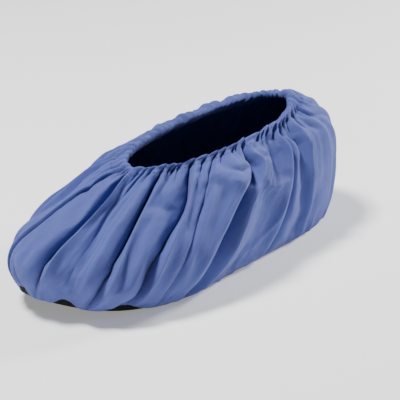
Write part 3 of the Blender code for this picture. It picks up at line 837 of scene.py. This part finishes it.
def settle(grid):
    """Lets the wall relax in a short simulation, on a coarser sheet held at its foot, hem and seam."""
    rows, columns = grid.shape[:2]
    down = np.unique(np.linspace(0, rows - 1, rows * 3 // 4).round().astype(int))
    across = np.unique(np.append(np.arange(0, columns, 2), columns - 1))
    coarse = grid[down][:, across]
    high, wide = coarse.shape[:2]
    sheet = mesh_object("settling", coarse.reshape(-1, 3) * SIM_SCALE, grid_faces(high, wide))
    mesh = sheet.data
    ends = held_at_ends(np.linspace(0.0, 1.0, high)[:, None], HOLD_FOOT, HOLD_HEAD)
    seam = held_at_ends(np.linspace(0.0, 1.0, wide)[None, :], HOLD_SEAM, HOLD_SEAM)
    hold = within(np.maximum(ends, seam) + HOLD_LEAST)
    group = sheet.vertex_groups.new(name="held")
    levels = np.round(hold.ravel(), 2)
    for level in np.unique(levels):
        group.add(np.flatnonzero(levels == level).tolist(), float(level), "REPLACE")
    modifier = sheet.modifiers.new("settle", "CLOTH")
    for name, value in CLOTH_SETTINGS.items():
        setattr(modifier.settings, name, value)
    modifier.settings.effector_weights.gravity = 0.0
    modifier.collision_settings.use_collision = False
    scene = bpy.context.scene
    for frame_number in range(1, SIM_FRAMES + 1):
        scene.frame_set(frame_number)
    seen = sheet.evaluated_get(bpy.context.evaluated_depsgraph_get())
    settled = np.zeros(len(mesh.vertices) * 3)
    seen.data.vertices.foreach_get("co", settled)
    scene.frame_set(1)
    bpy.data.objects.remove(sheet)
    bpy.data.meshes.remove(mesh)
    moved = settled.reshape(high, wide, 3) / SIM_SCALE - coarse
    far = np.linalg.norm(moved, axis=2)
    moved *= np.minimum(1.0, SETTLE_LIMIT / np.maximum(far, 1e-9))[:, :, None]
    moved = calm(calm(moved).swapaxes(0, 1)).swapaxes(0, 1)
    tall = hermite(down, moved.reshape(high, -1), np.arange(rows)).reshape(rows, wide, 3)
    full = hermite(across, tall.transpose(1, 0, 2).reshape(wide, -1), np.arange(columns))
    return grid + full.reshape(columns, rows, 3).transpose(1, 0, 2)


def make_cloth():
    """The wall and the hem as one sheet, with its flat lengths and the line that its stitches follow."""
    ups = np.linspace(0.0, 1.0, WALL_ROWS)
    ups = ups + ROW_CROWD * np.sin(TURN * ups) / TURN
    first, out = wall_points(0.0)
    tucked = [first - out * inward + np.array([0.0, 0.0, height]) for inward, height in FOOT_TUCK]
    made = [wall_points(up) for up in ups]
    outs = np.array([out for _, out in made])
    wall, painted_shade, painted_highlight = sharpen(settle(np.array([points for points, _ in made])), outs, ups)
    grid = np.array(tucked + list(wall) + hem_rows()) + SHIFT
    hops = np.linalg.norm(np.diff(grid, axis=0), axis=2).mean(axis=1)
    up_length = np.concatenate([[0.0], np.cumsum(hops)])
    across_length = lengths_along(grid[len(grid) // 2])
    obj = make_grid("upper_cloth", list(grid), (across_length, up_length))
    # Stores the masks of painted shade and of painted highlight as point attributes
    for name, values in (("painted_shade", painted_shade), ("painted_highlight", painted_highlight)):
        full = np.zeros(grid.shape[:2])
        full[len(tucked) : len(tucked) + len(wall)] = values
        obj.data.attributes.new(name, "FLOAT", "POINT").data.foreach_set("value", full.ravel())
    line = int(np.argmin(np.abs(ups - STITCH_UP)))
    return obj, up_length[-1], across_length[-1], wall[line] + SHIFT, outs[line]


def make_stitches(line, outs):
    """Short dashes of thread that hold the hem, along a row of the cloth."""
    closed = np.concatenate([line, line[:1]])
    outs = np.concatenate([outs, outs[:1]])
    length = lengths_along(closed)
    count = int(length[-1] / STITCH_PITCH)
    turn = TURN * np.arange(STITCH_SIDES) / STITCH_SIDES
    arch = np.sin(math.pi * np.linspace(0.0, 1.0, STITCH_RINGS))
    radius = STITCH_RADIUS * within(STITCH_TIP + 0.9 * arch)
    points, faces = [], []
    for i in range(count):
        along = np.linspace(-0.5, 0.5, STITCH_RINGS) * STITCH_LENGTH / STITCH_PITCH
        at = (i + 0.5 + along) * length[-1] / count
        spine, out = read_line(at, length, closed), read_line(at, length, outs)
        spine = spine + out * (STITCH_RADIUS * (STITCH_ARCH * arch - STITCH_SINK))[:, None]
        way = unit(np.gradient(spine, axis=0))
        side = unit(np.cross(way, out))
        over = np.cross(side, way)
        start = len(points)
        for k in range(STITCH_RINGS):
            points += [spine[k] + radius[k] * (math.cos(t) * side[k] + math.sin(t) * over[k]) for t in turn]
        faces += grid_faces(STITCH_RINGS, STITCH_SIDES, closed=True, start=start)
        faces.append(tuple(start + j for j in reversed(range(STITCH_SIDES))))
        faces.append(tuple(start + (STITCH_RINGS - 1) * STITCH_SIDES + j for j in range(STITCH_SIDES)))
    return mesh_object("hem_stitches", points, faces)


def make_sole():
    """The sole's sheet, with its edge curled up under the foot of the wall."""
    count = SOLE_COLUMNS
    around = np.arange(count) / count
    edge, out = sole_edge(around)
    curl, thick, high = SOLE_CURL_RADIUS, SOLE_THICKNESS, SOLE_EDGE_HEIGHT
    inner = curl - thick
    path = []
    for angle in 0.5 * math.pi * np.linspace(0.0, 1.0, 7):
        path.append((-curl * (1 - math.sin(angle)), curl * (1 - math.cos(angle))))
    path += [(0.0, high - 0.0015), (-0.0003, high - 0.0003), (-0.0008, high)]
    path += [(-thick + 0.0004, high), (-thick, high - 0.0006), (-thick, high - 0.0020)]
    for angle in 0.5 * math.pi * np.linspace(1.0, 0.0, 6):
        path.append((-curl + inner * math.sin(angle), thick + inner * (1 - math.cos(angle))))
    rows = []
    for distance, height in path:
        bulge = SOLE_BULGE * lift_at(around) * smooth(height / 0.0025) if distance > -0.5 * thick else 0.0
        spot = edge + out * np.broadcast_to(distance + bulge, count)[:, None]
        rows.append(np.column_stack([spot, spring(spot[:, 0]) + height]) + SHIFT)
    last = (len(rows) - 1) * count
    faces = grid_faces(len(rows), count, closed=True)
    for i in range(count // 2):
        # A strip from edge to edge. The first and the last have three corners.
        strip = tuple(dict.fromkeys((i, i + 1, (count - i - 1) % count, (count - i) % count)))
        faces.append(tuple(reversed(strip)))
        faces.append(tuple(last + k for k in strip))
    return mesh_object("grip_sole", np.concatenate(rows), faces)


def make_elastic():
    """The flat band inside the hem."""
    around = np.arange(BAND_COLUMNS) / BAND_COLUMNS
    point, out, rise = wall_frame(around, 1.0)
    middle = point - out * BAND_INSET
    section = ((-0.5, BAND_LOW), (-0.5, BAND_HIGH), (0.5, BAND_HIGH), (0.5, BAND_LOW), (-0.5, BAND_LOW))
    rows = [middle + out * (side * BAND_THICKNESS) + rise * height + SHIFT for side, height in section]
    rows = [np.concatenate([row, row[:1]]) for row in rows]
    tall, thick = BAND_HIGH - BAND_LOW, BAND_THICKNESS
    up = np.array([0.0, tall, tall + thick, 2 * tall + thick, 2 * (tall + thick)])
    return make_grid("elastic_band", rows, (np.linspace(0.0, BAND_LENGTH, BAND_COLUMNS + 1), up))


class Paint:
    """A material whose shader the nodes made here lead to."""

    def __init__(self, name, colour, roughness):
        self.made = bpy.data.materials.new(name)
        self.made.use_nodes = True
        self.tree = self.made.node_tree
        self.shader = self.tree.nodes["Principled BSDF"]
        self.fix("Base Color", (*colour, 1.0))
        self.fix("Roughness", roughness)
        self.height = None

    def fix(self, name, value):
        self.shader.inputs[name].default_value = value

    def lead(self, value, name):
        self.tree.links.new(value, self.shader.inputs[name])

    def node(self, kind, inputs, output, **settings):
        """The output of a new node. Its inputs are set to values, or linked to outputs of other nodes."""
        made = self.tree.nodes.new("ShaderNode" + kind)
        for name, value in settings.items():
            setattr(made, name, value)
        for name, value in inputs.items():
            if isinstance(value, bpy.types.NodeSocket):
                self.tree.links.new(value, made.inputs[name])
            else:
                made.inputs[name].default_value = value
        return made.outputs[output]

    def attribute(self, name, output):
        return self.node("Attribute", {}, output, attribute_name=name)

    def place(self):
        return self.node("TexCoord", {}, "Object")

    def stretched(self, vector, scale):
        return self.node("Mapping", {"Vector": vector, "Scale": scale}, "Vector")

    def noise(self, vector, scale, detail=3.0, rough=0.55):
        inputs = {"Vector": vector, "Scale": scale, "Detail": detail, "Roughness": rough}
        return self.node("TexNoise", inputs, "Fac")

    def bands(self, vector, direction, period):
        inputs = {"Vector": vector, "Scale": math.pi / (10.0 * period)}
        return self.node("TexWave", inputs, "Fac", wave_type="BANDS", bands_direction=direction)

    def cells(self, vector, scale):
        return self.node("TexVoronoi", {"Vector": vector, "Scale": scale}, "Distance")

    def maths(self, operation, first, second):
        return self.node("Math", {0: first, 1: second}, 0, operation=operation)

    def ranged(self, value, low, high, to_low, to_high):
        inputs = {"Value": value, "From Min": low, "From Max": high, "To Min": to_low, "To Max": to_high}
        return self.node("MapRange", inputs, "Result")

    def mixed(self, share, first, second):
        """A mix of two colours. They are inputs 6 and 7 of a node that also mixes numbers and vectors."""
        first, second = ((*c, 1.0) if isinstance(c, tuple) else c for c in (first, second))
        return self.node("Mix", {"Factor": share, 6: first, 7: second}, 2, data_type="RGBA")

    def bump(self, height, distance):
        inputs = {"Height": height, "Distance": distance, "Strength": 1.0}
        if self.height:
            inputs["Normal"] = self.height
        self.height = self.node("Bump", inputs, "Normal")
        self.lead(self.height, "Normal")


def cloth_material():
    """A fine plain weave in slightly uneven blue yarn, with painted shade in its seam and hard valleys and a
    painted highlight on its ridges.
    """
    paint = Paint("blue_cloth", CLOTH_BLUE, 0.78)
    paint.fix("Sheen Weight", 0.12)
    paint.fix("Sheen Roughness", 0.55)
    paint.fix("Sheen Tint", (0.75, 0.82, 1.0, 1.0))
    paint.fix("Specular IOR Level", 0.25)
    flat, place = paint.attribute("flat", "Vector"), paint.place()
    weft, warp = paint.bands(flat, "Y", YARN_PERIOD), paint.bands(flat, "X", YARN_PERIOD)
    weave = paint.maths("MULTIPLY", weft, warp)
    slub_across = paint.noise(paint.stretched(flat, (90.0, 1500.0, 1.0)), 1.0, 2.0)
    slub_up = paint.noise(paint.stretched(flat, (1500.0, 90.0, 1.0)), 1.0, 2.0)
    slubs = paint.maths("ADD", slub_across, slub_up)
    patches = paint.noise(place, 26.0, 4.0)
    patched = paint.ranged(patches, 0.3, 0.7, 0.0, 1.0)
    tone = paint.mixed(patched, scaled(CLOTH_BLUE, 0.91), scaled(CLOTH_BLUE, 1.08))
    yarn = paint.maths("ADD", slubs, paint.ranged(weave, 0.0, 1.0, 0.0, 0.5))
    yarn = paint.ranged(yarn, 0.6, 1.6, 0.0, 1.0)
    tone = paint.mixed(paint.maths("MULTIPLY", yarn, 0.35), tone, scaled(CLOTH_BLUE, 1.25))
    # Painted highlight: the cloth's colour lightened towards a pale blue along the ridges
    tone = paint.mixed(paint.maths("MULTIPLY", paint.attribute("painted_highlight", "Fac"), 0.30), tone, PAINTED_HIGHLIGHT_BLUE)
    # Painted shade: the cloth's colour darkened towards a deep blue in the hard valleys and the seam
    tone = paint.mixed(paint.maths("MULTIPLY", paint.attribute("painted_shade", "Fac"), 0.88), tone, PAINTED_SHADE_BLUE)
    paint.lead(tone, "Base Color")
    paint.lead(paint.ranged(patches, 0.3, 0.7, 0.72, 0.86), "Roughness")
    paint.bump(paint.noise(place, 55.0, 3.0, 0.5), 0.0011)
    paint.bump(paint.noise(paint.stretched(flat, (260.0, 110.0, 1.0)), 1.0, 4.0, 0.6), 0.0005)
    paint.bump(slubs, 0.00008)
    paint.bump(weave, 0.00012)
    return paint.made


def thread_material():
    """Twisted sewing thread, a little darker than the cloth."""
    paint = Paint("blue_thread", scaled(CLOTH_BLUE, 0.8), 0.6)
    twist = paint.noise(paint.place(), 2600.0, 2.0)
    paint.lead(paint.mixed(twist, scaled(CLOTH_BLUE, 0.55), CLOTH_BLUE), "Base Color")
    paint.bump(twist, 0.0001)
    return paint.made


def black_material():
    """Black coated sheet with a fine pebbled grip."""
    paint = Paint("black_grip", (0.004, 0.004, 0.005), 0.72)
    paint.fix("Specular IOR Level", 0.2)
    place = paint.place()
    pebbles, dust = paint.cells(place, 620.0), paint.noise(place, 70.0, 5.0)
    dusty = paint.ranged(dust, 0.35, 0.75, 0.0, 1.0)
    paint.lead(paint.mixed(dusty, (0.003, 0.003, 0.004), (0.008, 0.008, 0.009)), "Base Color")
    paint.lead(paint.ranged(dust, 0.3, 0.7, 0.62, 0.82), "Roughness")
    paint.bump(pebbles, 0.00035)
    paint.bump(paint.noise(place, 2400.0, 2.0), 0.00006)
    return paint.made


def elastic_material():
    """White knitted elastic, ribbed along its length."""
    paint = Paint("white_elastic", (0.70, 0.70, 0.68), 0.85)
    flat, place = paint.attribute("flat", "Vector"), paint.place()
    ribs, knit = paint.bands(flat, "Y", 0.0009), paint.bands(flat, "X", 0.0007)
    both = paint.maths("MULTIPLY", ribs, knit)
    paint.lead(paint.mixed(both, (0.52, 0.52, 0.50), (0.74, 0.74, 0.72)), "Base Color")
    paint.lead(paint.ranged(paint.noise(place, 90.0), 0.3, 0.7, 0.78, 0.92), "Roughness")
    paint.bump(both, 0.00025)
    return paint.made


def floor_material():
    """Matt pale studio floor, faintly lit as a seamless background is."""
    paint = Paint("pale_floor", (0.93, 0.93, 0.93), 0.9)
    paint.fix("Emission Color", (1.0, 1.0, 1.0, 1.0))
    paint.fix("Emission Strength", 0.30)
    cloud = paint.noise(paint.place(), 3.0, 4.0)
    paint.lead(paint.mixed(cloud, (0.92, 0.92, 0.92), (0.94, 0.94, 0.94)), "Base Color")
    return paint.made


cover, up_length, across_length, stitch_line, stitch_outs = make_cloth()
sole = make_sole()
band = make_elastic()
stitches = make_stitches(stitch_line, stitch_outs)

for piece, material, slot, nodes in (
    (cover, cloth_material(), "upper_cloth", ("upper", "hem_casing")),
    (sole, black_material(), "grip_sole", ("sole",)),
    (band, elastic_material(), "elastic", ("hem_elastic",)),
    (stitches, thread_material(), "hem_cloth", ()),
):
    piece.data.materials.append(material)
    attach(piece, "root")
    if nodes:
        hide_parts(*nodes)

camera_data = bpy.data.cameras.new("camera")
camera_data.sensor_width = SENSOR
camera_data.lens = SENSOR * (FOCAL_PIXELS / IMAGE_SIZE)
camera_data.clip_start = 0.01
camera = placed("camera", camera_data)
azimuth, elevation = math.radians(AZIMUTH), math.radians(ELEVATION)
level = math.cos(elevation)
back = np.array([math.sin(azimuth) * level, -math.cos(azimuth) * level, math.sin(elevation)])
right = np.array([math.cos(azimuth), math.sin(azimuth), 0.0])
over = np.cross(back, right)
aim = np.array([0.0, 0.0, AIM_HEIGHT]) + SHIFT
camera.location = aim + back * DISTANCE
aside, below = (0.5 * IMAGE_SIZE - pixel for pixel in AIM_PIXEL)
target = aim + (right * aside - over * below) * DISTANCE / FOCAL_PIXELS
camera.rotation_mode = "QUATERNION"
camera.rotation_quaternion = (Vector(target) - camera.location).to_track_quat("-Z", "Y")
bpy.context.scene.camera = camera

floor = mesh_object("floor", [(-6, -6, 0), (6, -6, 0), (6, 6, 0), (-6, 6, 0)], [(0, 1, 2, 3)])
floor.data.materials.append(floor_material())

world = bpy.data.worlds.new("studio")
bpy.context.scene.world = world
world.use_nodes = True
background = world.node_tree.nodes["Background"]
background.inputs["Color"].default_value = (1.0, 1.0, 1.0, 1.0)
background.inputs["Strength"].default_value = 0.05

# Lamps: name, place, size in metres and power in watts
for name, spot, size, power in (
    ("top", (-0.42, 0.42, 1.56), 0.34, 46.0),
    ("right", (1.30, -0.42, 0.70), 0.30, 25.0),
    ("front", (-0.90, -1.30, 0.35), 0.80, 0.8),
):
    lamp_data = bpy.data.lights.new(name, "AREA")
    lamp_data.size = size
    lamp_data.energy = power
    lamp = placed(name, lamp_data)
    lamp.location = spot
    lamp.rotation_mode = "QUATERNION"
    lamp.rotation_quaternion = (Vector((0, 0, AIM_HEIGHT)) - Vector(spot)).to_track_quat("-Z", "Y")
